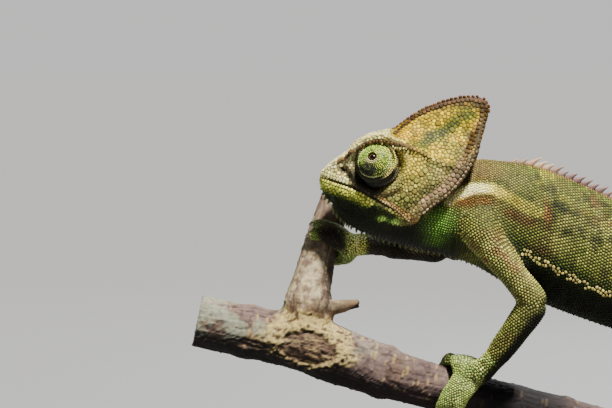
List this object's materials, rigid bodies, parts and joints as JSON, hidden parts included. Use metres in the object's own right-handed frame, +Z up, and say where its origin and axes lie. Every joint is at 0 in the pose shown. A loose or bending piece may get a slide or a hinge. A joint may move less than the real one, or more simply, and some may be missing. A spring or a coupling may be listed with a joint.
{
  "type": "chameleon on a branch",
  "caption": "Still life-size chameleon with a tall casque and coiled tail, gripping a short forked branch that two rods hold above a flat display base.",
  "frame": {"origin": "centre of the bounding box in plan, on the underside of the stand's base", "axes": "+Z up; the head faces -X and the tail lies towards +X; the animal's left side faces -Y"},
  "size_m": [0.2102, 0.094, 0.1424],
  "materials": {
    "skin": "dry beaded scales in olive, lime, cream and rust",
    "eye_skin": "fine granular scales in rings round the lid opening",
    "eyeball": "wet and glossy",
    "claw": "smooth horn",
    "bark": "rough bark with lichen and a callused scar",
    "base_wood": "dark satin varnish",
    "rod_steel": "fine turned finish"
  },
  "bodies": {
    "root": {"head": "skin", "casque": "skin", "lower_jaw": "skin", "eye_turret_left": "eye_skin", "eyeball_left": "eyeball", "eye_turret_right": "eye_skin", "eyeball_right": "eyeball", "neck": "skin", "trunk_front": "skin", "trunk_middle": "skin", "trunk_rear": "skin", "tail_base": "skin", "tail_upper": "skin", "tail_coil": "skin", "tail_tip": "skin", "upper_arm_left": "skin", "forearm_left": "skin", "upper_arm_right": "skin", "forearm_right": "skin", "thigh_left": "skin", "shank_left": "skin", "thigh_right": "skin", "shank_right": "skin", "hand_left": "skin", "hand_left_toes_outer": "skin", "hand_left_claw_outer_1": "claw", "hand_left_claw_outer_2": "claw", "hand_left_toes_inner": "skin", "hand_left_claw_inner_1": "claw", "hand_left_claw_inner_2": "claw", "hand_left_claw_inner_3": "claw", "hand_right": "skin", "hand_right_toes_outer": "skin", "hand_right_claw_outer_1": "claw", "hand_right_claw_outer_2": "claw", "hand_right_toes_inner": "skin", "hand_right_claw_inner_1": "claw", "hand_right_claw_inner_2": "claw", "hand_right_claw_inner_3": "claw", "foot_left": "skin", "foot_left_toes_outer": "skin", "foot_left_claw_outer_1": "claw", "foot_left_claw_outer_2": "claw", "foot_left_claw_outer_3": "claw", "foot_left_toes_inner": "skin", "foot_left_claw_inner_1": "claw", "foot_left_claw_inner_2": "claw", "foot_right": "skin", "foot_right_toes_outer": "skin", "foot_right_claw_outer_1": "claw", "foot_right_claw_outer_2": "claw", "foot_right_claw_outer_3": "claw", "foot_right_toes_inner": "skin", "foot_right_claw_inner_1": "claw", "foot_right_claw_inner_2": "claw", "perch_branch": "bark", "stand_base": "base_wood", "stand_rod_front": "rod_steel", "stand_rod_rear": "rod_steel"}
  },
  "joints": []
}
